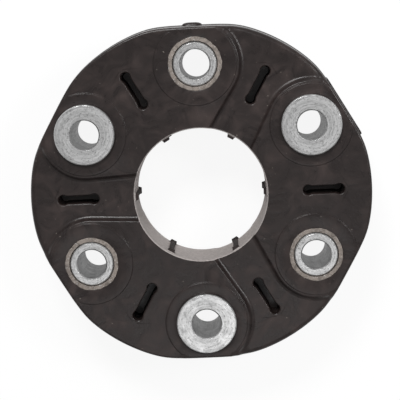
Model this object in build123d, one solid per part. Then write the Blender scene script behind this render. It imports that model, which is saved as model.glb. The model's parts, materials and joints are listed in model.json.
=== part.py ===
"""Disc coupling: a cord-reinforced rubber ring with six flanged steel sleeves.

The shaft axis is +Z and the origin is the centre of the bolt circle at half thickness.
Sleeve 1 is on +Y and the numbers run clockwise as seen from +Z. Even sleeves have their
flange on the front (+Z), odd sleeves on the back. All lengths are in millimetres.
"""

import os
from math import atan2, cos, degrees, radians, sin, tan

from build123d import *

# Bolt circle
SLEEVE_COUNT = 6
BOLT_CIRCLE_D = 110.0

# Sleeves and the rings on them
BOLT_HOLE_D = 12.2
BOLT_HOLE_CHAMFER = 0.45
SLEEVE_D = 18.6
SLEEVE_END_CHAMFER = 0.6
FLANGE_REACH = 3.4
FLANGE_THICKNESS = 3.9
FLANGE_CHAMFER = 0.4
COLLAR_WALL = 2.0
COLLAR_THICKNESS = 2.0
COLLAR_CHAMFER = 0.3
SLEEVE_END_PROUD = 0.3

# Cord packs, measured across the strand and along the shaft axis
CORD_WIDTH = 4.5
COAST_PACK_THICKNESS = 6.4
DRIVE_PACK_THICKNESS = 9.6
SPACER_THICKNESS = 1.2

# Rubber over the packs
FACE_COVER = 1.5
RIM_COVER = 1.6
BOSS_COVER = 3.6
BOSS_HEIGHT = 0.4
RIM_BULGE = 1.8
RIM_DRAFT_DEG = 2.5
RIM_CHAMFER = 1.0
BORE_D = 56.2

# Lower faces between the driving pairs
RECESS_DEPTH = 2.0
RECESS_FLANK = 2.2
RECESS_BOSS_MARGIN = 0.4
RECESS_FLARE_DEG = 9.0
RECESS_RIM_BEVEL = 1.9

# Relief slots
SLOT_LENGTH = 17.8
SLOT_END_D = 4.2
SLOT_BAR_WIDTH = 2.8
SLOT_NECK_RADIUS = 3.0
SLOT_STRAND_GAP = 3.5
SLOT_WEB = 4.0
SLOT_LIP = 0.75

# Ribs in the centre bore
RIB_WIDTH = 2.6
RIB_HEIGHT = 1.1
RIB_END_WIDTH = 3.4
RIB_END_HEIGHT = 1.5
RIB_END_LENGTH = 2.6
RIB_FACE_GAP = 0.6

# Pads moulded on the flats: sleeve, offset, width, thickness, height, corner radius
RIM_PIP = (1, 0.75, 9.3, 6.0, 1.4, 1.1)
RIM_STRIP = (2, -1.6, 28.6, 10.0, 0.4, 0.3)

# Worked out from the sizes above
PITCH_DEG = 360.0 / SLEEVE_COUNT
BOLT_R = BOLT_CIRCLE_D / 2
SLEEVE_R = SLEEVE_D / 2
FLANGE_R = SLEEVE_R + FLANGE_REACH
COLLAR_R = SLEEVE_R + COLLAR_WALL
PACK_R = SLEEVE_R + CORD_WIDTH
SPACER_Z = COAST_PACK_THICKNESS / 2
DRIVE_Z = SPACER_Z + SPACER_THICKNESS
PACK_TOP_Z = DRIVE_Z + DRIVE_PACK_THICKNESS
LINK_Z = PACK_TOP_Z + FACE_COVER
BOSS_Z = LINK_Z + BOSS_HEIGHT
RECESS_Z = LINK_Z - RECESS_DEPTH
COLLAR_Z = PACK_TOP_Z + COLLAR_THICKNESS
SLEEVE_END_Z = COLLAR_Z + SLEEVE_END_PROUD
FLANGE_Z = PACK_TOP_Z + FLANGE_THICKNESS
BORE_R = BORE_D / 2
BOSS_R = PACK_R + BOSS_COVER
FLAT_R = BOLT_R + PACK_R + RIM_COVER
RIM_R = FLAT_R + RIM_BULGE

# How far cutting tools reach past what they cut
OVERCUT = 15.0
LID = 1.0


def polar(radius, angle_deg):
    """The point at a radius and an angle from +X, in the plane of the disc."""
    angle = radians(angle_deg)
    return (radius * cos(angle), radius * sin(angle))


def sleeve_angle(number):
    """Sleeve 1 is on +Y, and the next ones follow clockwise."""
    return 90.0 - PITCH_DEG * (number - 1)


def at_sleeve(number):
    return Pos(*polar(BOLT_R, sleeve_angle(number)), 0)


def between(number):
    """The turn that brings +X midway between a sleeve and the next one."""
    return Rot(0, 0, sleeve_angle(number) - PITCH_DEG / 2)


def ring(outer_r, inner_r, low_z, high_z):
    face = Circle(outer_r) - Circle(inner_r)
    return extrude(Pos(0, 0, low_z) * face, high_z - low_z)


def sleeve():
    """A turned sleeve with its flange on the front."""
    hole_r = BOLT_HOLE_D / 2
    profile = Polyline(
        (hole_r + BOLT_HOLE_CHAMFER, FLANGE_Z),
        (FLANGE_R - FLANGE_CHAMFER, FLANGE_Z),
        (FLANGE_R, FLANGE_Z - FLANGE_CHAMFER),
        (FLANGE_R, PACK_TOP_Z),
        (SLEEVE_R, PACK_TOP_Z),
        (SLEEVE_R, SLEEVE_END_CHAMFER - SLEEVE_END_Z),
        (SLEEVE_R - SLEEVE_END_CHAMFER, -SLEEVE_END_Z),
        (hole_r + BOLT_HOLE_CHAMFER, -SLEEVE_END_Z),
        (hole_r, BOLT_HOLE_CHAMFER - SLEEVE_END_Z),
        (hole_r, FLANGE_Z - BOLT_HOLE_CHAMFER),
        close=True,
    )
    return revolve(Plane.XZ * make_face(profile), Axis.Z)


def end_collar():
    """The pressed ring on the narrow end, at the back of a sleeve with its flange in front."""
    profile = Polyline(
        (SLEEVE_R, -PACK_TOP_Z),
        (COLLAR_R, -PACK_TOP_Z),
        (COLLAR_R, COLLAR_CHAMFER - COLLAR_Z),
        (COLLAR_R - COLLAR_CHAMFER, -COLLAR_Z),
        (SLEEVE_R, -COLLAR_Z),
        close=True,
    )
    return revolve(Plane.XZ * make_face(profile), Axis.Z)


def loop_face(reach):
    """The area that a line drawn at a distance round two sleeves encloses.

    The pair lies either side of +X. The outer strand is bowed to the bolt circle's centre,
    the ends follow the sleeves and the inner strand is straight.
    """
    half = PITCH_DEG / 2
    upper = Vector(*polar(BOLT_R, half))
    lower = Vector(*polar(BOLT_R, -half))
    bend = (half + 180.0) / 2
    outer_top = Vector(*polar(BOLT_R + reach, half))
    outer_low = Vector(*polar(BOLT_R + reach, -half))
    inner_top = upper + Vector(-reach, 0)
    inner_low = lower + Vector(-reach, 0)
    lines = [
        ThreePointArc(outer_low, (BOLT_R + reach, 0), outer_top),
        ThreePointArc(outer_top, upper + Vector(*polar(reach, bend)), inner_top),
        Line(inner_top, inner_low),
        ThreePointArc(inner_low, lower + Vector(*polar(reach, -bend)), outer_low),
    ]
    return make_face(lines)


def cord_loop(low_z, thickness):
    face = loop_face(PACK_R) - loop_face(SLEEVE_R)
    return extrude(Pos(0, 0, low_z) * face, thickness)


def rim_face(growth=0.0):
    """The disc's outline: a circle with a flat in line with each sleeve."""
    face = Circle(RIM_R + growth)
    across = 2 * (RIM_R + OVERCUT)
    for number in range(1, SLEEVE_COUNT + 1):
        waste = Pos(FLAT_R + growth + across / 2, 0) * Rectangle(across, across)
        face -= Rot(0, 0, sleeve_angle(number)) * waste
    return face


def half_blank():
    """The front half of the moulding before its faces are cut, with drafted sides."""
    swell = BOSS_Z * tan(radians(RIM_DRAFT_DEG))
    wall = extrude(rim_face(swell), BOSS_Z, taper=RIM_DRAFT_DEG)
    top_rim = wall.faces().sort_by(Axis.Z)[-1].edges()
    wall = chamfer(top_rim, RIM_CHAMFER)
    return wall - extrude(Circle(BORE_R), BOSS_Z)


def recess_face(grow):
    """One lower area in plan, between two boss circles and two lines to the bore.

    The lines touch the circles and spread a little towards the bore. Growing the
    circles by a flank's width gives the foot of the step.
    """
    half = PITCH_DEG / 2
    circle_r = BOSS_R + RECESS_BOSS_MARGIN + grow
    centre = Vector(*polar(BOLT_R, half))
    touch = centre + Vector(*polar(circle_r, RECESS_FLARE_DEG - 90.0))
    inner_x = BORE_R - OVERCUT
    inner_y = touch.Y + (touch.X - inner_x) * tan(radians(RECESS_FLARE_DEG))
    far = Vector(*polar(RIM_R + OVERCUT, half))
    side = [Vector(inner_x, inner_y), touch, centre, far]
    corners = side + [Vector(point.X, -point.Y) for point in reversed(side)]
    face = make_face(Polyline(*corners, close=True))
    for height in (centre.Y, -centre.Y):
        face -= Pos(centre.X, height) * Circle(circle_r)
    return face


def recess_rim_cutter():
    """What the bevel takes off the rim of one lower area, all round past the step's foot."""
    start_r = RIM_R + (BOSS_Z - RECESS_Z) * tan(radians(RIM_DRAFT_DEG)) - RECESS_RIM_BEVEL
    profile = Polyline(
        (start_r - LID, RECESS_Z + LID),
        (start_r + OVERCUT, RECESS_Z - OVERCUT),
        (start_r + OVERCUT, RECESS_Z + LID),
        close=True,
    )
    bevel = revolve(Plane.XZ * make_face(profile), Axis.Z)
    return bevel & extrude(recess_face(RECESS_FLANK), BOSS_Z)


def recess_cutter():
    """The lower area with a sloping flank, from its floor to above the boss."""
    lean = degrees(atan2(RECESS_FLANK, RECESS_DEPTH))
    foot = Pos(0, 0, RECESS_Z) * recess_face(RECESS_FLANK)
    return extrude(foot, RECESS_DEPTH + BOSS_HEIGHT + LID, taper=-lean)


def slot_face():
    """The dog-bone outline of a relief slot, lying along +X."""
    end_r = SLOT_END_D / 2
    outer_x = BOLT_R + SLEEVE_R - SLOT_STRAND_GAP - end_r
    inner_x = outer_x - SLOT_LENGTH + SLOT_END_D
    middle = (outer_x + inner_x) / 2
    face = Pos(middle, 0) * Rectangle(outer_x - inner_x, SLOT_BAR_WIDTH)
    face += Pos(outer_x, 0) * Circle(end_r)
    face += Pos(inner_x, 0) * Circle(end_r)
    necks = [v for v in face.vertices() if inner_x < v.X < outer_x]
    return fillet(necks, SLOT_NECK_RADIUS)


def slot_cutter(face_z):
    """A blind slot down to the middle web, with a bevelled lip at a face."""
    floor_z = SLOT_WEB / 2
    shaft = extrude(Pos(0, 0, floor_z) * slot_face(), face_z - floor_z)
    lip = extrude(Pos(0, 0, face_z - SLOT_LIP) * slot_face(), 2 * SLOT_LIP, taper=-45)
    return shaft + lip


def rib():
    """Half of a rib in the bore, with a wider pad near the face."""
    top_z = RECESS_Z - RIB_FACE_GAP
    run = Pos(BORE_R, 0, top_z / 2) * Box(2 * RIB_HEIGHT, RIB_WIDTH, top_z)
    pad_z = top_z - RIB_END_LENGTH / 2
    pad = Pos(BORE_R, 0, pad_z) * Box(2 * RIB_END_HEIGHT, RIB_END_WIDTH, RIB_END_LENGTH)
    return run + pad


def rim_pad(number, offset, width, thickness, height, corner_r):
    """A low pad on the flat beside a sleeve, with rounded ends."""
    root_r = BOLT_R + PACK_R
    top_r = FLAT_R + BOSS_Z * tan(radians(RIM_DRAFT_DEG)) + height
    block = Pos((root_r + top_r) / 2, offset) * Box(top_r - root_r, width, thickness)
    ends = block.edges().filter_by(Axis.Z).sort_by(Axis.X)[-2:]
    return Rot(0, 0, sleeve_angle(number)) * fillet(ends, corner_r)


def half_moulding():
    """The front half of the rubber before the steel and cord take their room."""
    half = half_blank()
    above_links = Circle(RIM_R + OVERCUT)
    for number in range(1, SLEEVE_COUNT + 1):
        above_links -= at_sleeve(number) * Circle(BOSS_R)
    half -= extrude(Pos(0, 0, LINK_Z) * above_links, BOSS_HEIGHT + LID)
    sleeve_hole = extrude(Circle(SLEEVE_R), BOSS_Z)
    for number in range(1, SLEEVE_COUNT + 1):
        half -= at_sleeve(number) * sleeve_hole
        lower = number % 2 == 1
        if lower:
            half -= between(number) * recess_cutter()
            half -= between(number) * recess_rim_cutter()
        face_z = RECESS_Z if lower else LINK_Z
        half -= between(number) * slot_cutter(face_z)
        half += between(number) * rib()
    return half


def write(node, shape):
    shape.label = node
    export_step(shape, f"parts/{node}.step")


def main():
    os.makedirs("parts", exist_ok=True)
    inner = {}
    for number in range(1, SLEEVE_COUNT + 1):
        flip = Rot(180, 0, 0) if number % 2 else Rot(0, 0, 0)
        inner[f"sleeve_{number}"] = at_sleeve(number) * flip * sleeve()
        inner[f"end_collar_{number}"] = at_sleeve(number) * flip * end_collar()
        spacer = ring(PACK_R, SLEEVE_R, SPACER_Z, DRIVE_Z)
        inner[f"front_spacer_{number}"] = at_sleeve(number) * spacer
        inner[f"back_spacer_{number}"] = at_sleeve(number) * Rot(180, 0, 0) * spacer
    for pair in range(SLEEVE_COUNT // 2):
        coast_start = 2 * pair + 1
        drive_start = coast_start + 1
        coast = cord_loop(-COAST_PACK_THICKNESS / 2, COAST_PACK_THICKNESS)
        inner[f"coast_loop_{pair + 1}"] = between(coast_start) * coast
        front = cord_loop(DRIVE_Z, DRIVE_PACK_THICKNESS)
        back = cord_loop(-PACK_TOP_Z, DRIVE_PACK_THICKNESS)
        inner[f"front_drive_loop_{pair + 1}"] = between(drive_start) * front
        inner[f"back_drive_loop_{pair + 1}"] = between(drive_start) * back

    half = half_moulding()
    moulding = half + mirror(half, Plane.XY)
    for pad in (RIM_PIP, RIM_STRIP):
        moulding += rim_pad(*pad)
    for shape in inner.values():
        moulding -= shape

    write("rubber_body", moulding)
    for node, shape in inner.items():
        write(node, shape)


main()
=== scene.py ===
"""Finish and studio for a cord-reinforced rubber disc coupling.

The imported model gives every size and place. This script moulds the rubber ring, turns the
sleeves and presses the collars as computed surfaces, gives each its material, and sets the stage.
Lengths are in metres, in the model's own frame: +Z is the shaft axis.
"""

import json
from math import asin, atan2, cos, pi, radians, sin, sqrt, tan

import bmesh
import bpy
import numpy as np
from bpy.props import FloatProperty, FloatVectorProperty, PointerProperty
from mathutils import Matrix, Vector


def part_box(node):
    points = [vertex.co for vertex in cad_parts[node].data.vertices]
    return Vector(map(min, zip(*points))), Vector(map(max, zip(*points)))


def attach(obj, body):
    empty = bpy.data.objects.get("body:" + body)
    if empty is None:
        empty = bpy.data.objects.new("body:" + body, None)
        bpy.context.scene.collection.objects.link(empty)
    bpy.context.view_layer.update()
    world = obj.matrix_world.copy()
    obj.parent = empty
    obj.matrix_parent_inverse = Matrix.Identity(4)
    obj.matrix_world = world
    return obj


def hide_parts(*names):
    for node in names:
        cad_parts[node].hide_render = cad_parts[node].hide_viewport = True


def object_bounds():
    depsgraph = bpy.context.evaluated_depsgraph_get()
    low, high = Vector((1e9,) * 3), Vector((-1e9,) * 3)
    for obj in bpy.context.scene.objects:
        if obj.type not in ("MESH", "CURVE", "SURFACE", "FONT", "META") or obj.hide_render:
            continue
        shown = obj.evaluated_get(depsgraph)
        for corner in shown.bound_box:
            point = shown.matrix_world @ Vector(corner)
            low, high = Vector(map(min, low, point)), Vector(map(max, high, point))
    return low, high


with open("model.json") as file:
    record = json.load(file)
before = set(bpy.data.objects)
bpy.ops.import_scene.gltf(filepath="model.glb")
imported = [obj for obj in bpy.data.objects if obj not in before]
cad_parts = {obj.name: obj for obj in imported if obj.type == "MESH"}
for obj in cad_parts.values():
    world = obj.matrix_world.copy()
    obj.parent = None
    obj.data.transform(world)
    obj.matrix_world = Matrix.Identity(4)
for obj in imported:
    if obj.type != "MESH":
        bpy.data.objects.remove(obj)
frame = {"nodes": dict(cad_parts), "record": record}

bl_info = {
    "name": "Disc Coupling Finish",
    "version": (1, 0, 0),
    "blender": (4, 5, 0),
    "location": "View3D > Sidebar > Coupling",
    "description": "Moulded rubber, turned sleeves, pressed collars and a studio",
    "category": "Object",
}

MM = 0.001
CAD_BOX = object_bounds()

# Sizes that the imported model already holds
MOUNTS = {mount["name"]: mount for mount in frame["record"]["mounts"]}
SLEEVES = 6
BOLT_R = MOUNTS["bolt_circle"]["dims"]["pcd_mm"] / 2 * MM
HOLE_R = MOUNTS["bolt_circle"]["dims"]["hole_r_mm"] * MM
SLEEVE_LOW, SLEEVE_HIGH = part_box("sleeve_2")
COLLAR_LOW, COLLAR_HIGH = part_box("end_collar_2")
RUBBER_LOW, RUBBER_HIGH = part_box("rubber_body")
FLANGE_TOP = SLEEVE_HIGH.z
FLANGE_R = (SLEEVE_HIGH.x - SLEEVE_LOW.x) / 2
NARROW_END = -SLEEVE_LOW.z
COLLAR_R = (COLLAR_HIGH.x - COLLAR_LOW.x) / 2
COLLAR_TOP = -COLLAR_LOW.z
PACK_TOP = -COLLAR_HIGH.z
BOSS_TOP = RUBBER_HIGH.z
RIM_R = RUBBER_HIGH.x
FLAT_R = -RUBBER_LOW.y

# Pads on the flats: sleeve, offset, width, thickness, height and roundness
RIM_PADS = (
    (1, 0.75 * MM, 9.3 * MM, 6.0 * MM, 1.35 * MM, 0.6),
    (2, -1.6 * MM, 28.6 * MM, 10.0 * MM, 0.42 * MM, 0.12),
)


def length(name, note, value):
    """A length property, in metres, with its default."""
    return FloatProperty(name=name, description=note, default=value, unit="LENGTH", precision=5)


def angle(name, note, value):
    """An angle property, shown in degrees."""
    return FloatProperty(name=name, description=note, default=value, unit="ROTATION")


def amount(name, note, value):
    """A plain number of at least 0."""
    return FloatProperty(name=name, description=note, default=value, min=0.0)


def linear(code):
    """An sRGB hex colour as linear red, green and blue."""
    shares = [int(code[i : i + 2], 16) / 255 for i in (1, 3, 5)]
    return [s / 12.92 if s <= 0.04045 else ((s + 0.055) / 1.055) ** 2.4 for s in shares]


def colour(name, note, code):
    """A colour property, from its sRGB hex code."""
    return FloatVectorProperty(
        name=name, description=note, default=linear(code), subtype="COLOR", min=0.0, max=1.0
    )


def point(name, note, value):
    """A point, in metres."""
    return FloatVectorProperty(
        name=name, description=note, default=value, subtype="TRANSLATION", precision=5
    )


class CouplingRubber(bpy.types.PropertyGroup):
    """Sizes and colours of the moulded ring."""

    bore_r: length("Bore radius", "Centre bore, between its ribs", 28.1 * MM)
    boss_r: length("Boss radius", "Raised round boss about each sleeve", 17.3 * MM)
    boss_drop: length("Boss height", "From the boss down to the link face", 0.4 * MM)
    edge_r: length("Link end radius", "Round end of a link, about its sleeve", 17.95 * MM)
    recess: length("Recess depth", "From the link face to the lower face", 2.0 * MM)
    lean: angle("Step slope", "Slope of the step between the faces", radians(55))
    crest: length("Step crest", "Rounding at the top of the step", 0.7 * MM)
    foot: length("Step foot", "Rounding at the foot of the step", 2.0 * MM)
    flare: angle("Recess flare", "Spread of the step's straight part towards the bore", radians(3))
    draft: angle("Draft", "Taper of the rim from the parting line", radians(2.5))
    rim_round: length("Rim rounding", "Rounding where a link face meets the rim", 1.0 * MM)
    low_round: length("Lower rim rounding", "Rounding where a lower face meets the rim", 1.9 * MM)
    bead: length("Parting bead", "Height of the bead on the parting line", 0.35 * MM)
    slot_outer: length("Slot reach", "From the shaft axis to a slot's outer end", 60.8 * MM)
    slot_length: length("Slot length", "From end to end of a relief slot", 17.8 * MM)
    slot_end: length("Slot end radius", "Round end of a relief slot", 2.3 * MM)
    slot_half: length("Slot half width", "Half the width of a slot's narrow part", 1.85 * MM)
    slot_neck: length("Slot neck radius", "Curve from a slot's end to its narrow part", 3.0 * MM)
    slot_lip: length("Slot lip", "How far a slot widens at its lip", 0.5 * MM)
    slot_depth: length("Slot lip depth", "How deep a slot's rounded lip reaches", 0.8 * MM)
    slot_draw: length("Slot draw", "How far a slot narrows below its lip", 0.2 * MM)
    slot_floor: length("Slot floor", "Height of the slot's floor over the middle plane", 2.0 * MM)
    bore_round: length("Bore rounding", "Rounding where a face meets the bore", 0.5 * MM)
    rib_half: length("Rib half width", "Half the width of a rib in the bore", 1.3 * MM)
    rib_rise: length("Rib height", "How far a rib stands into the bore", 1.1 * MM)
    pad_half: length("Rib pad half width", "Half the width of a rib's end pad", 1.7 * MM)
    pad_rise: length("Rib pad height", "How far a rib's end pad stands into the bore", 1.5 * MM)
    pad_run: length("Rib pad length", "Length of a rib's end pad along the bore", 2.6 * MM)
    rib_top: length("Rib top", "Height of a rib's end over the middle plane", 12.9 * MM)
    base: colour("Rubber", "Carbon-black natural rubber", "#1e1817")
    bloom: colour("Bloom", "Pale haze where the compound has bloomed", "#352c2a")
    dust: colour("Dust", "Specks of dust and release agent", "#8a827a")
    # Partly painted reflection: this light grey stands for a film on the bore's wall and for the
    # white floor reflected there
    film_and_reflection: colour("Film", "Grey film on the wall of the bore", "#b0a9a6")


class CouplingSteel(bpy.types.PropertyGroup):
    """Sizes and colours of the sleeves and collars."""

    tube_r: length("Tube radius", "Outside of the sleeve's tube", 9.3 * MM)
    hole_round: length("Hole chamfer", "Chamfer at both ends of the bolt hole", 0.5 * MM)
    flange_round: length("Flange chamfer", "Chamfer round the flange's face", 0.4 * MM)
    end_round: length("End chamfer", "Chamfer round the narrow end", 0.6 * MM)
    collar_wave: length("Flash wave", "Unevenness of the rubber flash on a collar", 0.18 * MM)
    zinc: colour("Zinc", "Bright zinc plate", "#c4c4c4")
    oxide: colour("Oxide", "Dulled zinc in the turning marks", "#727272")
    pit: colour("Pits", "Dark pits in the plate", "#4c4b49")
    primer: colour("Primer", "Grey-brown bonding primer on pressed steel", "#7d746d")
    bloom: colour("Bleed", "Rubber bled over the primer", "#423b36")
    cord: colour("Cord", "Polyester cord under its bonding dip", "#b08a55")
    cord_gap: colour("Cord gaps", "Shade between the cord's turns", "#5a4128")


class CouplingStage(bpy.types.PropertyGroup):
    """The camera, the lamps and the floor."""

    eye: point("Eye", "Where the camera stands", (0.01122, 0.06448, 0.56721))
    aim: point("Aim", "The point the camera looks at", (-0.0008, -0.00405, 0.0))
    roll: angle("Roll", "Turn of the camera about its view", radians(-2.679))
    view: angle("View angle", "Width of the camera's view", 2 * atan2(200.0, 1317.65))
    key: amount("Key lamp", "Power of the large soft lamp, in watts", 12.0)
    key_place: point("Key place", "Where the large soft lamp hangs", (-0.2, 0.85, 0.95))
    key_size: length("Key size", "Side of the large soft lamp", 0.35)
    fill: amount("Fill lamp", "Power of the second soft lamp, in watts", 1.35)
    fill_place: point("Fill place", "Where the second soft lamp hangs", (0.0, -0.52, 1.45))
    fill_size: length("Fill size", "Side of the second soft lamp", 0.5)
    side: amount("Side lamp", "Power of the third soft lamp, in watts", 5.0)
    side_place: point("Side place", "Where the third soft lamp hangs", (0.75, 0.3, 0.9))
    side_size: length("Side size", "Side of the third soft lamp", 0.3)
    sky: amount("Sky", "Strength of the plain studio light", 0.4)
    floor: colour("Floor", "Plain pale floor", "#f4f4f4")
    floor_size: length("Floor size", "Side of the floor", 6.0)


# ---------------------------------------------------------------- shared mesh work


def ramp(x, width, soft):
    """0 before 0, 1 after the width, and straight between, with parabolic corners.

    Each corner reaches a soft distance to both sides.
    """

    def bend(t):
        curve = (t + soft) ** 2 / (4 * soft)
        return np.where(t < -soft, 0.0, np.where(t > soft, t, curve))

    return (bend(x) - bend(x - width)) / width


def grid_quads(rows, columns, start):
    """Vertex numbers of the quads of a grid stored row by row."""
    index = start + np.arange(rows * columns).reshape(rows, columns)
    corners = (index[:-1, :-1], index[:-1, 1:], index[1:, 1:], index[1:, :-1])
    return np.stack(corners, axis=-1).reshape(-1, 4)


def join_grids(grids):
    """One list of points and one of quads from many grids of points."""
    points, quads, start = [], [], 0
    for grid in grids:
        rows, columns = grid.shape[:2]
        points.append(grid.reshape(-1, 3))
        quads.append(grid_quads(rows, columns, start))
        start += rows * columns
    return np.concatenate(points), np.concatenate(quads)


def new_piece(name, points, quads, weld=None, sharp=radians(40)):
    """A mesh object at the origin. Welding closes its seams and turns its faces outwards."""
    mesh = bpy.data.meshes.new(name)
    mesh.from_pydata(points.tolist(), [], quads.tolist())
    if weld:
        body = bmesh.new()
        body.from_mesh(mesh)
        bmesh.ops.remove_doubles(body, verts=body.verts, dist=weld)
        bmesh.ops.dissolve_degenerate(body, edges=body.edges, dist=weld)
        bmesh.ops.recalc_face_normals(body, faces=body.faces)
        body.to_mesh(mesh)
        body.free()
    mesh.shade_smooth()
    mesh.set_sharp_from_angle(angle=sharp)
    mesh.update()
    piece = bpy.data.objects.new(name, mesh)
    bpy.context.scene.collection.objects.link(piece)
    return piece


def dress(piece, material, node):
    """The piece takes its material, rides on the one body and stands for its node."""
    piece.data.materials.clear()
    piece.data.materials.append(material)
    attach(piece, "root")
    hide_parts(node)


def sleeve_turn(number):
    """Angle of a sleeve about the shaft axis: sleeve 1 is on +Y, the rest run clockwise."""
    return pi / 2 - 2 * pi / SLEEVES * (number - 1)


def turned(points, turn):
    """Points turned about the shaft axis."""
    x, y, z = np.moveaxis(points, -1, 0)
    return np.stack((x * cos(turn) - y * sin(turn), x * sin(turn) + y * cos(turn), z), axis=-1)


# ---------------------------------------------------------------- the moulded ring


class HalfSector:
    """Half of one sleeve's sixth of a face, from the sleeve's centre line to a slot's centre line.

    The sleeve lies on +X and the slot's line is 30 degrees above it. A low half has the recess.
    Points follow rays from the sleeve: along each ray they stop at the boss's edge and the
    link's edge, so that each step in the surface lies on a row of the grid.
    """

    half_pitch = pi / SLEEVES
    boss_chamfer = 0.25 * MM
    boss_soft = 0.12 * MM

    def __init__(self, rubber, tube_r, low, well_r):
        self.rubber = rubber
        self.tube_r = tube_r
        self.low = low
        self.well_r = well_r
        self.touch = self.half_pitch + pi / 2 + rubber.flare
        self.crest_run = rubber.crest * sin(rubber.lean)
        self.foot_run = rubber.foot * sin(rubber.lean)
        self.bend_drop = (rubber.crest + rubber.foot) * (1 - cos(rubber.lean))
        self.slope_run = (rubber.recess - self.bend_drop) / tan(rubber.lean)
        self.step_run = self.crest_run + self.slope_run + self.foot_run

    def edge_distance(self, x, y):
        """Distance beyond the link's edge: a circle about the sleeve and a line that touches it."""
        out = x - BOLT_R
        ray = np.arctan2(y, out)
        across = out * cos(self.touch) + y * sin(self.touch)
        round_part = np.hypot(out, y)
        return np.where(ray > self.touch, across, round_part) - self.rubber.edge_r

    def step(self, past):
        """How far the face has dropped at a distance past the link's edge.

        An arc bends the face down to a straight slope, and a wider arc bends it level again.
        """
        r = self.rubber
        crest = np.clip(past, 0, self.crest_run)
        slope = np.clip(past - self.crest_run, 0, self.slope_run)
        foot = np.clip(self.step_run - past, 0, self.foot_run)
        over_crest = r.crest - np.sqrt(r.crest**2 - crest**2)
        over_foot = np.sqrt(r.foot**2 - foot**2) - r.foot * cos(r.lean)
        return over_crest + slope * tan(r.lean) + over_foot

    def height(self, x, y):
        """Height of the face: the boss's, less its drop outside it, less the recess past the edge."""
        r = self.rubber
        from_sleeve = np.hypot(x - BOLT_R, y)
        z = BOSS_TOP - r.boss_drop * ramp(from_sleeve - r.boss_r, self.boss_chamfer, self.boss_soft)
        if self.low:
            z = z - self.step(self.edge_distance(x, y))
        return z

    def side_radius(self, theta, z):
        """Rim radius at an angle and height.

        It is the lesser of a circle's and a flat's, blended by a high power, and both taper from
        the parting line.
        """
        inset = np.abs(z) * tan(self.rubber.draft)
        circle = RIM_R - inset
        flat = (FLAT_R - inset) / np.cos(theta)
        sharpness = 100.0
        return circle * (1.0 + (circle / flat) ** sharpness) ** (-1.0 / sharpness)

    def rim_rounding(self, theta):
        """The rounding's size: it grows where the rim drops to the recess."""
        r = self.rubber
        size = np.full_like(theta, r.rim_round)
        if self.low:
            reach = self.side_radius(theta, BOSS_TOP)
            past = self.edge_distance(reach * np.cos(theta), reach * np.sin(theta))
            size = size + (r.low_round - r.rim_round) * self.step(past) / r.recess
        return size

    def slot_outline(self, growth, off_line=0.0):
        """Half of a slot's outline, from its outer tip to its inner tip, in the slot's own frame.

        X runs along the slot from the shaft axis and Y away from its centre line. Each end is an
        arc, a hollow neck arc leads to the straight part, and growth moves all of it outwards. The
        outline starts and stops at a small distance off its centre line.
        """
        r = self.rubber
        outer_x = r.slot_outer - r.slot_end
        inner_x = r.slot_outer - r.slot_length + r.slot_end
        reach = r.slot_end + r.slot_neck
        rise = r.slot_half + r.slot_neck
        run = sqrt(reach**2 - rise**2)
        turn = atan2(rise, -run)
        end = np.linspace(asin(off_line / (r.slot_end + growth)), turn, 9)
        end_x = (r.slot_end + growth) * np.cos(end)
        end_y = (r.slot_end + growth) * np.sin(end)
        neck = np.linspace(turn - pi, -pi / 2, 5)[1:]
        neck_x = -run + (r.slot_neck - growth) * np.cos(neck)
        neck_y = rise + (r.slot_neck - growth) * np.sin(neck)
        side_x = np.concatenate((end_x, neck_x))
        side_y = np.concatenate((end_y, neck_y))
        middle_x = np.linspace(outer_x - run, inner_x + run, 7)[1:-1]
        middle_y = np.full(5, r.slot_half + growth)
        x = np.concatenate((outer_x + side_x, middle_x, inner_x - side_x[::-1]))
        y = np.concatenate((side_y, middle_y, side_y[::-1]))
        return x, y

    def from_slot(self, x, y):
        """Points in a slot's frame, turned into the sleeve's frame."""
        c, s = cos(self.half_pitch), sin(self.half_pitch)
        return x * c + y * s, x * s - y * c

    def boundary(self, inset):
        """The half sector's edge as seen from the sleeve, from the rim round to the bore.

        It follows the rim, the slot's centre line, the slot's lip, the centre line again and the
        bore, all moved in by an inset. Finer steps lie where the step crosses the rim and bore.
        """
        r = self.rubber
        rim, bore = self.rim_angles(), self.bore_angles()
        rim_r = self.side_radius(rim, BOSS_TOP) - self.rim_rounding(rim) - inset
        bore_r = r.bore_r + r.bore_round + inset
        rim = rim * (1 - asin(inset / rim_r[-1]) / self.half_pitch)
        bore = bore * (1 - asin(inset / bore_r) / self.half_pitch)
        lip_x, lip_y = self.slot_outline(r.slot_lip + inset, inset)
        outer_line = np.linspace(rim_r[-1], lip_x[0], 6)[1:-1]
        inner_line = np.linspace(lip_x[-1], bore_r, 9)[1:-1]
        line_x = np.concatenate((outer_line, lip_x, inner_line))
        line_y = np.concatenate((outer_line * 0 + inset, lip_y, inner_line * 0 + inset))
        slot_x, slot_y = self.from_slot(line_x, line_y)
        x = np.concatenate((rim_r * np.cos(rim), slot_x, bore_r * np.cos(bore)))
        y = np.concatenate((rim_r * np.sin(rim), slot_y, bore_r * np.sin(bore)))
        return x, y

    def rim_angles(self):
        """Angles along the rim, closer together where the step crosses it."""
        return stepped((0.0, 6.6, 12.6, 30.0), (6, 16, 12) if self.low else (6, 4, 10))

    def bore_angles(self):
        """Angles along the bore, closer together where the step crosses it."""
        steps = (10, 6, 16, 5) if self.low else (10, 5, 5, 4)
        return stepped((30.0, 26.0, 15.0, 7.4, 0.0), steps)

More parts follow.
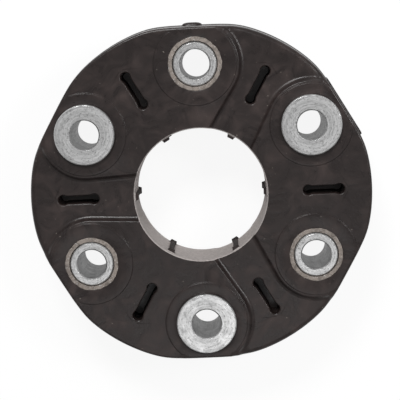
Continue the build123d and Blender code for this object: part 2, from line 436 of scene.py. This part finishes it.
    def face(self):
        """The face from the sleeve's tube out to the boundary, one row for each stop on the rays."""
        r = self.rubber
        insets = (0.7 * MM, 0.15 * MM, 0.0)
        edges = [self.boundary(inset) for inset in insets]
        x, y = edges[0]
        ray = np.maximum.accumulate(np.arctan2(y, x - BOLT_R))
        far = np.hypot(x - BOLT_R, y)
        rows = []
        for radius, z in ((self.tube_r, 0.0), (self.tube_r, PACK_TOP), (self.well_r, PACK_TOP)):
            rows.append(self.around(ray, np.full_like(ray, radius), z))
        well_edge = ((0.0, 0.3), (0.1, 0.08), (0.35, 0.0))
        for out, down in well_edge:
            radius = np.full_like(ray, self.well_r + out * MM)
            rows.append(self.around(ray, radius, BOSS_TOP - down * MM))
        past_touch = np.maximum(ray - self.touch, 0) if self.low else ray * 0
        boss_stops = np.array((-1.0, -0.15, -0.05, 0.07, 0.18, 0.3, 0.4)) * MM
        crest = np.linspace(0, self.crest_run, 4)
        foot = np.linspace(self.step_run - self.foot_run, self.step_run, 6)
        step_stops = np.concatenate(([-0.1 * MM], crest, foot, [self.step_run + 0.2 * MM]))
        stops = [r.boss_r + stop + ray * 0 for stop in boss_stops]
        stops += [(r.edge_r + stop) / np.cos(past_touch) for stop in step_stops]
        sliver = 0.005 * MM
        for row, radius in enumerate(stops):
            rows.append(self.around(ray, np.minimum(radius, far - sliver * (len(stops) - row))))
        for edge_x, edge_y in edges:
            rows.append(np.stack((edge_x, edge_y, self.height(edge_x, edge_y)), axis=-1))
        return np.stack(rows)

    def around(self, ray, radius, z=None):
        """Points about the sleeve at each ray, at a given height or on the face."""
        x = BOLT_R + radius * np.cos(ray)
        y = radius * np.sin(ray)
        if z is None:
            z = self.height(x, y)
        return np.stack((x, y, np.broadcast_to(z, x.shape)), axis=-1)

    def rim_wall(self, theta, top):
        """The rim's side: a quarter round, a drafted wall and half of the parting bead."""
        size = self.rim_rounding(theta)
        rows = [(self.side_radius(theta, BOSS_TOP) - size, top)]
        for turn in np.linspace(0, pi / 2, 6)[1:]:
            z = top - 0.9 * size * (1 - cos(turn))
            side = self.side_radius(theta, z * sin(turn) + BOSS_TOP * (1 - sin(turn)))
            rows.append((side - size * (1 - sin(turn)), z))
        wall_top = rows[-1][1]
        bead = 0.8 * MM
        for share in (0.02, 0.35, 0.7, 0.98):
            z = wall_top + (bead - wall_top) * share
            rows.append((self.side_radius(theta, z), z))
        for share in (1.0, 0.7, 0.4, 0.0):
            z = np.full_like(theta, bead * share)
            rise = self.rubber.bead * cos(share * pi / 2)
            rows.append((self.side_radius(theta, z) + rise, z))
        return self.about_axis(theta, rows)

    def bore_wall(self, theta, top):
        """The bore's side: a quarter round, then the wall with its rib and the rib's end pad."""
        r = self.rubber
        edge = r.bore_round
        rows = []
        for turn in np.linspace(0, pi / 2, 5):
            radius = r.bore_r + edge * (1 - sin(turn))
            rows.append((np.full_like(theta, radius), top - edge * (1 - cos(turn))))
        pad_low = r.rib_top - r.pad_run
        stops = (r.rib_top + 0.05 * MM, r.rib_top - 0.1 * MM, r.rib_top - 0.4 * MM)
        stops += (pad_low + 0.25 * MM, pad_low, pad_low - 0.3 * MM, 5 * MM, 0.0)
        from_slot = r.bore_r * np.sin(self.half_pitch - theta)
        slope, side_soft, end_soft = 0.3 * MM, 0.12 * MM, 0.1 * MM
        for z in stops:
            rib = r.rib_rise * ramp(r.rib_half - from_slot, slope, side_soft)
            pad = r.pad_rise * ramp(r.pad_half - from_slot, slope, side_soft)
            in_pad = ramp(z - pad_low + slope / 2, slope, end_soft)
            under_top = ramp(r.rib_top - z, slope, end_soft)
            rise = np.maximum(rib, pad * in_pad) * under_top
            rows.append((r.bore_r - rise, np.full_like(theta, z)))
        return self.about_axis(theta, rows)

    def about_axis(self, theta, rows):
        """Rows of radius and height at each angle, as points."""
        grid = [np.stack((r * np.cos(theta), r * np.sin(theta), z), axis=-1) for r, z in rows]
        return np.stack(grid)

    def slot_wall(self):
        """Half of a slot: its rounded lip, its wall and its floor out to the centre line."""
        r = self.rubber
        top = BOSS_TOP - r.boss_drop - (r.recess if self.low else 0.0)
        floor = r.slot_floor
        rows = []
        for turn in np.linspace(0, pi / 2, 8):
            growth = (r.slot_lip + r.slot_draw) * (1 - sin(turn)) - r.slot_draw
            rows.append((growth, top - r.slot_depth * (1 - cos(turn))))
        rows += [(-r.slot_draw, floor + 0.5 * MM), (-r.slot_draw - 0.35 * MM, floor + 0.1 * MM)]
        grid = []
        for growth, z in rows:
            x, y = self.from_slot(*self.slot_outline(growth))
            grid.append(np.stack((x, y, np.full_like(x, z)), axis=-1))
        outer_x = r.slot_outer - r.slot_end
        inner_x = r.slot_outer - r.slot_length + r.slot_end
        line = np.clip(self.slot_outline(0.0)[0], inner_x, outer_x)
        x, y = self.from_slot(line, line * 0)
        grid.append(np.stack((x, y, np.full_like(x, floor)), axis=-1))
        return np.stack(grid)

    def grids(self):
        """All the surfaces of this half sector."""
        rim, bore = self.rim_angles(), self.bore_angles()
        face = self.face()
        rim_top = face[-1, : len(rim), 2]
        bore_top = face[-1, -len(bore) :, 2]
        return [face, self.rim_wall(rim, rim_top), self.bore_wall(bore, bore_top), self.slot_wall()]


def stepped(stops, steps):
    """Angles in radians through stops in degrees, with a number of even steps between each two."""
    parts = [np.linspace(a, b, n, endpoint=False) for a, b, n in zip(stops, stops[1:], steps)]
    return np.radians(np.append(np.concatenate(parts), stops[-1]))


def rim_pad(number, offset, width, thickness, height, roundness):
    """A low pad on the flat beside a sleeve: a closed superellipsoid, mostly sunk in the rubber.

    Each of its three half lengths is scaled by a cosine or sine of the two parameters, raised to
    the roundness: 1 is an ellipsoid, and near 0 is a box.
    """
    turn = np.linspace(-pi, pi, 65)[None, :]
    rise = np.linspace(-pi / 2, pi / 2, 33)[:, None]
    sunk = 1.5 * MM

    def power(value):
        return np.sign(value) * np.abs(value) ** roundness

    x = FLAT_R - sunk + (sunk + height) * power(np.cos(rise)) * power(np.cos(turn))
    y = offset + width / 2 * power(np.cos(rise)) * power(np.sin(turn))
    z = thickness / 2 * power(np.sin(rise)) * np.ones_like(turn)
    return turned(np.stack((x, y, z), axis=-1), sleeve_turn(number))


def ring_grids(rubber, steel):
    """Every half sector, mirrored and turned to its place, on the front and on the back."""
    seat_overlap = 0.1 * MM
    grids = [rim_pad(*pad) for pad in RIM_PADS]
    for front in (True, False):
        for number in range(1, SLEEVES + 1):
            flange_here = (number % 2 == 0) == front
            well_r = (FLANGE_R if flange_here else COLLAR_R) - seat_overlap
            for above in (True, False):
                low = above == (number % 2 == 0)
                half = HalfSector(rubber, steel.tube_r, low, well_r)
                flip = np.array([1, 1 if above else -1, 1 if front else -1])
                for grid in half.grids():
                    grids.append(turned(grid * flip, sleeve_turn(number)))
    return grids


# ---------------------------------------------------------------- turned and pressed steel


def rounded_profile(corners, steps=5):
    """A closed outline of (radius, height, rounding) corners, with each corner as an arc.

    An arc touches both sides of its corner. Straight sides get two points near their ends, so
    that shading stays flat between them.
    """
    points = []
    count = len(corners)
    for i in range(count):
        before, here, after = (np.array(corners[(i + k) % count][:2]) for k in (-1, 0, 1))
        size = corners[i][2]
        back = (before - here) / np.linalg.norm(before - here)
        ahead = (after - here) / np.linalg.norm(after - here)
        bend = np.arccos(np.clip(back @ ahead, -1, 1))
        middle = (back + ahead) / np.linalg.norm(back + ahead)
        centre = here + middle * size / sin(bend / 2)
        start = here + back * size / tan(bend / 2)
        end = here + ahead * size / tan(bend / 2)
        share = np.linspace(0, 1, steps)[:, None]
        chord = (start - centre) * (1 - share) + (end - centre) * share
        arc = centre + size * chord / np.linalg.norm(chord, axis=1, keepdims=True)
        points.append(start + back * 0.05 * MM)
        points.extend(arc)
        points.append(end + ahead * 0.05 * MM)
    return np.array(points)


def turned_piece(name, profile, number, facing, wave=None):
    """A piece made on the lathe: a closed profile carried once round a sleeve's own axis.

    A wave moves the outer half of the profile in and out with the angle.
    """
    turn = np.linspace(0, 2 * pi, 129)
    loop = np.vstack((profile, profile[:1]))
    radius = np.broadcast_to(loop[:, :1], (len(loop), len(turn)))
    if wave is not None:
        radius = radius + wave(turn)[None, :] * (loop[:, :1] > loop[:, 0].mean())
    centre = BOLT_R * np.array((cos(sleeve_turn(number)), sin(sleeve_turn(number))))
    x = radius * np.cos(turn) + centre[0]
    y = radius * np.sin(turn) + centre[1]
    z = np.broadcast_to(loop[:, 1:] * facing, x.shape)
    points = np.stack((x, y, z), axis=-1).reshape(-1, 3)
    piece = new_piece(name, points, grid_quads(*x.shape, 0), 0.0001 * MM, radians(50))
    mark_turning(piece.data, centre)
    return piece


def mark_turning(mesh, centre):
    """An attribute that follows the tool: direction from the axis, and radius less height.

    Rings on a face are steps in its third number, which also changes along a bore.
    """
    places = np.empty(len(mesh.vertices) * 3)
    mesh.vertices.foreach_get("co", places)
    places = places.reshape(-1, 3) - (*centre, 0.0)
    radius = np.hypot(places[:, 0], places[:, 1])
    direction = places[:, :2] / radius[:, None]
    marks = np.column_stack((direction, radius - np.abs(places[:, 2])))
    layer = mesh.attributes.new("turning", "FLOAT_VECTOR", "POINT")
    layer.data.foreach_set("vector", marks.astype(np.float32).ravel())


def sleeve_corners(steel):
    """The sleeve's section: the flange at the top, the narrow end below."""
    hole, flange, end = steel.hole_round, steel.flange_round, steel.end_round
    broken = 0.08 * MM
    return (
        (HOLE_R + hole, FLANGE_TOP, broken),
        (FLANGE_R - flange, FLANGE_TOP, broken),
        (FLANGE_R, FLANGE_TOP - flange, broken),
        (FLANGE_R, PACK_TOP, broken),
        (steel.tube_r, PACK_TOP, broken),
        (steel.tube_r, end - NARROW_END, broken),
        (steel.tube_r - end, -NARROW_END, broken),
        (HOLE_R + hole, -NARROW_END, broken),
        (HOLE_R, hole - NARROW_END, broken),
        (HOLE_R, FLANGE_TOP - hole, broken),
    )


def collar_corners(steel):
    """The collar's section, at the narrow end."""
    inner = steel.tube_r + 0.25 * MM
    return (
        (inner, -COLLAR_TOP, 0.1 * MM),
        (inner, -PACK_TOP, 0.05 * MM),
        (COLLAR_R, -PACK_TOP, 0.05 * MM),
        (COLLAR_R, -COLLAR_TOP, 0.25 * MM),
    )


# ---------------------------------------------------------------- materials

# The kinds of node used most. A range's sockets are in order its value, its low and high, and the
# low and high that it is carried to. A mix of colours has its share in socket 0, the colour under
# in 6 and the colour over it in 7.
NOISE = "ShaderNodeTexNoise"
RANGE = "ShaderNodeMapRange"
MATHS = "ShaderNodeMath"
VECTORS = "ShaderNodeVectorMath"
MIX = "ShaderNodeMix"
BUMP = "ShaderNodeBump"
SKIN = "ShaderNodeBsdfPrincipled"
OUTPUT = "ShaderNodeOutputMaterial"

# How much of the paper shows as plain white to the eye, and of the white surroundings in gloss
PAPER_WHITE = 0.9
GLOSS_WHITE = 0.35


def add(tree, kind, sockets=(), **settings):
    """One node with its settings, and each socket set to a value or joined to an output.

    Sockets are listed in the node's own order, or given by name or number. A node stands for its
    first output, and a mix for its colour. A colour is given as red, green and blue.
    """
    node = tree.nodes.new(kind)
    for name, value in settings.items():
        setattr(node, name, value)
    named = sockets if isinstance(sockets, dict) else dict(enumerate(sockets))
    for name, source in named.items():
        socket = node.inputs[name]
        if isinstance(source, bpy.types.Node):
            source = source.outputs[2 if source.bl_idname == MIX else 0]
        if isinstance(source, bpy.types.NodeSocket):
            tree.links.new(source, socket)
        else:
            socket.default_value = (*source, 1.0) if socket.type == "RGBA" else source
    return node


def new_material(name):
    """An empty material and its node tree."""
    material = bpy.data.materials.new(name)
    material.use_nodes = True
    material.node_tree.nodes.clear()
    return material, material.node_tree


def moulded_rubber(look):
    """Carbon-black natural rubber from a steel mould.

    Nearly black and a little brown, satin, with duller flow marks where the compound met, and specks
    of dust. The bore's wall between the ribs is a matt light grey: partly a thin film where the
    rubber wiped the core, partly painted reflection of the white floor, seen on the wall at a grazing
    angle.
    Real dust is about 0.1 mm; it is drawn ten times as coarse, to show.
    """
    material, tree = new_material("moulded_carbon_black_rubber")
    spot = add(tree, "ShaderNodeTexCoord").outputs["Object"]
    flow_size = {"Scale": 1 / (11 * MM), "Detail": 3, "Roughness": 0.55, "Distortion": 1.6}
    flow = add(tree, NOISE, {"Vector": spot, **flow_size})
    smear = add(tree, NOISE, {"Vector": spot, "Scale": 1 / (26 * MM), "Distortion": 2.5})
    grain_size = {"Scale": 1 / (1.1 * MM), "Detail": 3, "Roughness": 0.6}
    grain = add(tree, NOISE, {"Vector": spot, **grain_size})
    dust = add(tree, NOISE, {"Vector": spot, "Scale": 1 / (1.2 * MM)})

    # The light grey on the bore's wall between the ribs, partly film and partly painted reflection,
    # is thinner on some grains than on others
    across = add(tree, VECTORS, (spot, (1, 1, 0)), operation="MULTIPLY")
    reach = add(tree, VECTORS, (across,), operation="LENGTH").outputs["Value"]
    off_rib = add(tree, RANGE, (reach, look.bore_r - 0.45 * MM, look.bore_r - 0.15 * MM))
    in_bore = add(tree, RANGE, (reach, look.bore_r + 0.25 * MM, look.bore_r + 0.45 * MM, 1, 0))
    film_and_reflection = add(tree, MATHS, (off_rib, in_bore), operation="MULTIPLY")
    patchiness = add(tree, RANGE, (grain, 0.25, 0.65, 0.55, 0.9))
    film_and_reflection = add(tree, MATHS, (film_and_reflection, patchiness), operation="MULTIPLY")

    streak = add(tree, RANGE, (flow, 0.4, 0.68))
    patch = add(tree, RANGE, (smear, 0.3, 0.7))
    marks = add(tree, MATHS, (streak, patch), operation="MULTIPLY")
    speck = add(tree, RANGE, (dust, 0.73, 0.78, 0.0, 0.5))
    shade = add(tree, MIX, {0: marks, 6: look.base, 7: look.bloom}, data_type="RGBA")
    shade = add(tree, MIX, {0: speck, 6: shade, 7: look.dust}, data_type="RGBA")
    # The bore's wall is painted light grey here, partly as film and partly as painted reflection of
    # the floor, and is made matt below
    shade = add(tree, MIX, {0: film_and_reflection, 6: shade, 7: look.film_and_reflection}, data_type="RGBA")
    satin = add(tree, RANGE, (flow, 0.3, 0.7, 0.24, 0.36))
    matt = add(tree, MATHS, (in_bore, 0.8), operation="MULTIPLY")
    dull = add(tree, MATHS, (satin, matt), operation="MAXIMUM")
    fine = add(tree, BUMP, {"Height": grain, "Distance": 0.03 * MM})
    relief = add(tree, BUMP, {"Height": flow, "Distance": 0.12 * MM, "Normal": fine})
    look_of = {"Base Color": shade, "Roughness": dull, "Normal": relief}
    skin = add(tree, SKIN, {**look_of, "IOR": 1.52, "Specular IOR Level": 0.25})
    add(tree, OUTPUT, {"Surface": skin})
    return material


def tool_marks(tree, pitch, arc):
    """Streaks round a turned piece: a pitch apart, and about an arc long at 10 mm from its axis."""
    marks = add(tree, "ShaderNodeAttribute", attribute_name="turning").outputs["Vector"]
    round_axis = 10 * MM / arc
    stretch = (round_axis, round_axis, 1 / pitch)
    where = add(tree, VECTORS, (marks, stretch), operation="MULTIPLY")
    return add(tree, NOISE, {"Vector": where, "Scale": 1.0, "Roughness": 0.6})


def turned_zinc(look):
    """Turned steel with a bright zinc plate.

    Pale and metallic, with fine rings from the tool round each face, soft blotches in the plate
    and small dark pits. The rings are 0.07 mm apart; they are drawn about ten times as coarse,
    to show.
    """
    material, tree = new_material("turned_zinc_plated_steel")
    spot = add(tree, "ShaderNodeTexCoord").outputs["Object"]
    rings = tool_marks(tree, 0.75 * MM, 14 * MM)
    dashes = tool_marks(tree, 0.45 * MM, 1.6 * MM)
    blotch_size = {"Scale": 1 / (4 * MM), "Detail": 3, "Roughness": 0.6, "Distortion": 0.6}
    blotch = add(tree, NOISE, {"Vector": spot, **blotch_size})
    pitting = add(tree, NOISE, {"Vector": spot, "Scale": 1 / (0.9 * MM), "Roughness": 0.6})

    ring = add(tree, RANGE, (rings, 0.4, 0.65))
    cloud = add(tree, RANGE, (blotch, 0.3, 0.6, 0.2, 0.5))
    dark = add(tree, MATHS, (ring, cloud), operation="MULTIPLY")
    dash = add(tree, RANGE, (dashes, 0.5, 0.72, 0.0, 0.65))
    pit = add(tree, RANGE, (pitting, 0.59, 0.66, 0.0, 0.45))
    shade = add(tree, MIX, {0: dark, 6: look.zinc, 7: look.oxide}, data_type="RGBA")
    shade = add(tree, MIX, {0: dash, 6: shade, 7: look.oxide}, data_type="RGBA")
    shade = add(tree, MIX, {0: pit, 6: shade, 7: look.pit}, data_type="RGBA")
    rough = add(tree, RANGE, (blotch, 0.3, 0.7, 0.26, 0.38))
    relief = add(tree, BUMP, {"Height": rings, "Distance": 0.02 * MM})
    relief = add(tree, BUMP, {"Height": dashes, "Distance": 0.015 * MM, "Normal": relief})
    look_of = {"Base Color": shade, "Roughness": rough, "Normal": relief}
    skin = add(tree, SKIN, {**look_of, "Metallic": 1.0})
    add(tree, OUTPUT, {"Surface": skin})
    return material


def primed_steel(look):
    """Pressed mild steel under bonding primer.

    Dull grey-brown and blotched, with rubber bled over it and bare grains showing through.
    """
    material, tree = new_material("primed_pressed_steel")
    spot = add(tree, "ShaderNodeTexCoord").outputs["Object"]
    blotch_size = {"Scale": 1 / (2.2 * MM), "Detail": 3, "Roughness": 0.65, "Distortion": 0.8}
    blotch = add(tree, NOISE, {"Vector": spot, **blotch_size})
    grit = add(tree, NOISE, {"Vector": spot, "Scale": 1 / (0.6 * MM)})

    bled = add(tree, RANGE, (blotch, 0.4, 0.7, 0.0, 0.85))
    bare = add(tree, RANGE, (grit, 0.6, 0.72, 0.0, 0.45))
    shade = add(tree, MIX, {0: bled, 6: look.primer, 7: look.bloom}, data_type="RGBA")
    shade = add(tree, MIX, {0: bare, 6: shade, 7: look.zinc}, data_type="RGBA")
    rough = add(tree, RANGE, (grit, 0.3, 0.7, 0.45, 0.7))
    relief = add(tree, BUMP, {"Height": grit, "Distance": 0.05 * MM})
    relief = add(tree, BUMP, {"Height": blotch, "Distance": 0.2 * MM, "Normal": relief})
    look_of = {"Base Color": shade, "Roughness": rough, "Normal": relief}
    skin = add(tree, SKIN, {**look_of, "Metallic": 0.0, "IOR": 1.5})
    add(tree, OUTPUT, {"Surface": skin})
    return material


def dipped_cord(look):
    """Wound polyester cord, dipped for bonding: tan turns side by side, 0.9 mm apart."""
    material, tree = new_material("dipped_polyester_cord")
    spot = add(tree, "ShaderNodeTexCoord").outputs["Object"]
    wave = {"Vector": spot, "Scale": pi / 10 / (0.9 * MM), "Distortion": 0.6}
    turns = add(tree, "ShaderNodeTexWave", wave, bands_direction="Z").outputs["Fac"]
    fibre = add(tree, NOISE, {"Vector": spot, "Scale": 1 / (0.5 * MM)})

    turn = add(tree, RANGE, (turns, 0.1, 0.6))
    fray = add(tree, RANGE, (fibre, 0.4, 0.7, 0.0, 0.4))
    shade = add(tree, MIX, {0: turn, 6: look.cord_gap, 7: look.cord}, data_type="RGBA")
    shade = add(tree, MIX, {0: fray, 6: shade, 7: look.cord_gap}, data_type="RGBA")
    rough = add(tree, RANGE, (fibre, 0.3, 0.7, 0.65, 0.85))
    relief = add(tree, BUMP, {"Height": turns, "Distance": 0.25 * MM})
    look_of = {"Base Color": shade, "Roughness": rough, "Normal": relief}
    skin = add(tree, SKIN, {**look_of, "IOR": 1.5, "Sheen Weight": 0.2})
    add(tree, OUTPUT, {"Surface": skin})
    return material


def rolled_steel(look):
    """Cold-rolled steel washer, sealed in the rubber: grey, with streaks from rolling."""
    material, tree = new_material("rolled_steel_washer")
    spot = add(tree, "ShaderNodeTexCoord").outputs["Object"]
    along = add(tree, VECTORS, (spot, (0.15, 1, 1)), operation="MULTIPLY")
    streaks = add(tree, NOISE, {"Vector": along, "Scale": 1 / (0.8 * MM), "Detail": 3})
    streak = add(tree, RANGE, (streaks, 0.3, 0.7))
    shade = add(tree, MIX, {0: streak, 6: look.oxide, 7: look.pit}, data_type="RGBA")
    rough = add(tree, RANGE, (streaks, 0.3, 0.7, 0.35, 0.5))
    skin = add(tree, SKIN, {"Base Color": shade, "Roughness": rough, "Metallic": 1.0})
    add(tree, OUTPUT, {"Surface": skin})
    return material


def paper_floor(shade):
    """Matt white paper: it takes the soft shadow, and shows mostly white to the eye."""
    material, tree = new_material("matt_white_paper")
    paper = add(tree, "ShaderNodeBsdfDiffuse", {"Color": shade})
    glow = add(tree, "ShaderNodeEmission", {"Color": (1, 1, 1), "Strength": 1.0})
    share = add(tree, MATHS, (seen_white(tree), PAPER_WHITE), operation="MULTIPLY")
    mixed = add(tree, "ShaderNodeMixShader", (share, paper, glow))
    add(tree, OUTPUT, {"Surface": mixed})
    return material


def seen_white(tree):
    """1 for what the eye sees directly, a share for what shows in gloss, 0 for light on its way."""
    path = add(tree, "ShaderNodeLightPath")
    glossy = path.outputs["Is Glossy Ray"]
    gloss = add(tree, MATHS, (glossy, GLOSS_WHITE), operation="MULTIPLY")
    return add(tree, MATHS, (path.outputs["Is Camera Ray"], gloss), operation="MAXIMUM")


# ---------------------------------------------------------------- the operators


class COUPLING_OT_rubber(bpy.types.Operator):
    """Moulds the rubber ring: faces, recesses, slots, rim and ribbed bore"""

    bl_idname = "coupling.rubber"
    bl_label = "Mould the rubber ring"

    def execute(self, context):
        rubber, steel = context.scene.coupling_rubber, context.scene.coupling_steel
        points, quads = join_grids(ring_grids(rubber, steel))
        ring = new_piece("rubber_skin", points, quads, 0.001 * MM, radians(35))
        dress(ring, moulded_rubber(rubber), "rubber_body")
        return {"FINISHED"}


class COUPLING_OT_sleeves(bpy.types.Operator):
    """Turns the six flanged sleeves"""

    bl_idname = "coupling.sleeves"
    bl_label = "Turn the sleeves"

    def execute(self, context):
        steel = context.scene.coupling_steel
        finish = turned_zinc(steel)
        profile = rounded_profile(sleeve_corners(steel))
        for number in range(1, SLEEVES + 1):
            facing = 1 if number % 2 == 0 else -1
            skin = turned_piece(f"sleeve_skin_{number}", profile, number, facing)
            dress(skin, finish, f"sleeve_{number}")
        return {"FINISHED"}


class COUPLING_OT_collars(bpy.types.Operator):
    """Presses the six end collars, with the rubber's flash on their edges"""

    bl_idname = "coupling.collars"
    bl_label = "Press the end collars"

    def execute(self, context):
        steel = context.scene.coupling_steel
        finish = primed_steel(steel)
        profile = rounded_profile(collar_corners(steel))
        for number in range(1, SLEEVES + 1):
            facing = 1 if number % 2 == 0 else -1

            def wave(turn, first=number):
                lobes = np.sin(5 * turn + first) + 0.6 * np.sin(11 * turn + 2 * first)
                return steel.collar_wave * (lobes + 0.5 * np.sin(23 * turn)) / 2

            skin = turned_piece(f"collar_skin_{number}", profile, number, facing, wave)
            dress(skin, finish, f"end_collar_{number}")
        return {"FINISHED"}


class COUPLING_OT_inner_pieces(bpy.types.Operator):
    """Finishes the cord loops and the washers that the rubber hides"""

    bl_idname = "coupling.inner_pieces"
    bl_label = "Finish the cords and washers"

    def execute(self, context):
        steel = context.scene.coupling_steel
        cord, washer = dipped_cord(steel), rolled_steel(steel)
        for name, node in frame["nodes"].items():
            if "loop" in name or "spacer" in name:
                node.data.materials.clear()
                node.data.materials.append(cord if "loop" in name else washer)
        return {"FINISHED"}


class COUPLING_OT_stage(bpy.types.Operator):
    """Sets the camera, the lamps, the floor and the plain light around them"""

    bl_idname = "coupling.stage"
    bl_label = "Set the stage"

    def execute(self, context):
        stage = context.scene.coupling_stage
        place_camera(stage)
        for name, spot, size, power in (
            ("key", stage.key_place, stage.key_size, stage.key),
            ("fill", stage.fill_place, stage.fill_size, stage.fill),
            ("side", stage.side_place, stage.side_size, stage.side),
        ):
            place_lamp(name, Vector(spot), size, power)
        place_floor(stage)
        light_world(stage)
        context.scene.view_settings.view_transform = "Standard"
        return {"FINISHED"}


def place_camera(stage):
    """The camera looks from the eye to the aim, turned about that line by the roll."""
    view = (Vector(stage.aim) - Vector(stage.eye)).normalized()
    right = view.cross(Vector((0, 1, 0))).normalized()
    up = right.cross(view)
    turn = Matrix((right, up, -view)).transposed() @ Matrix.Rotation(stage.roll, 3, "Z")
    data = bpy.data.cameras.new("camera")
    data.angle = stage.view
    data.clip_start = 10 * MM
    camera = bpy.data.objects.new("camera", data)
    camera.matrix_world = Matrix.Translation(Vector(stage.eye)) @ turn.to_4x4()
    bpy.context.scene.collection.objects.link(camera)
    bpy.context.scene.camera = camera


def place_lamp(name, spot, size, power):
    """A square soft lamp that faces the coupling."""
    data = bpy.data.lights.new(name, "AREA")
    data.energy = power
    data.size = size
    lamp = bpy.data.objects.new(name, data)
    lamp.matrix_world = Matrix.Translation(spot) @ spot.to_track_quat("Z", "Y").to_matrix().to_4x4()
    bpy.context.scene.collection.objects.link(lamp)


def place_floor(stage):
    """A square of paper under the lowest flanges."""
    half, level = stage.floor_size / 2, CAD_BOX[0][2]
    corners = np.array([(-half, -half), (half, -half), (half, half), (-half, half)])
    points = np.column_stack((corners, np.full(4, level)))
    floor = new_piece("floor", points, np.array([[0, 1, 2, 3]]))
    floor.data.materials.append(paper_floor(stage.floor))


def light_world(stage):
    """Plain even light from all round, seen as white."""
    world = bpy.data.worlds.new("studio")
    world.use_nodes = True
    tree = world.node_tree
    tree.nodes.clear()
    strength = add(tree, RANGE, (seen_white(tree), 0.0, 1.0, stage.sky, 1.0))
    sky = add(tree, "ShaderNodeBackground", {"Color": (1, 1, 1), "Strength": strength})
    add(tree, "ShaderNodeOutputWorld", {"Surface": sky})
    bpy.context.scene.world = world


OPERATORS = (
    COUPLING_OT_rubber,
    COUPLING_OT_sleeves,
    COUPLING_OT_collars,
    COUPLING_OT_inner_pieces,
    COUPLING_OT_stage,
)
SETTINGS = {
    "coupling_rubber": CouplingRubber,
    "coupling_steel": CouplingSteel,
    "coupling_stage": CouplingStage,
}


class COUPLING_PT_panel(bpy.types.Panel):
    """The coupling's pieces and their settings"""

    bl_label = "Disc Coupling"
    bl_space_type = "VIEW_3D"
    bl_region_type = "UI"
    bl_category = "Coupling"

    def draw(self, context):
        for operator in OPERATORS:
            self.layout.operator(operator.bl_idname)
        for name, group in SETTINGS.items():
            box = self.layout.box()
            for setting in group.__annotations__:
                box.prop(getattr(context.scene, name), setting)


def register():
    """Registers the settings, the operators and the panel."""
    for group in SETTINGS.values():
        bpy.utils.register_class(group)
    for name, group in SETTINGS.items():
        setattr(bpy.types.Scene, name, PointerProperty(type=group))
    for operator in (*OPERATORS, COUPLING_PT_panel):
        bpy.utils.register_class(operator)


def unregister():
    """Takes them all back out."""
    for operator in (COUPLING_PT_panel, *reversed(OPERATORS)):
        bpy.utils.unregister_class(operator)
    for name, group in SETTINGS.items():
        delattr(bpy.types.Scene, name)
        bpy.utils.unregister_class(group)


def main():
    """Registers the add-on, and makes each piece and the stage."""
    register()
    bpy.ops.coupling.rubber()
    bpy.ops.coupling.sleeves()
    bpy.ops.coupling.collars()
    bpy.ops.coupling.inner_pieces()
    bpy.ops.coupling.stage()


if __name__ == "__main__":
    main()
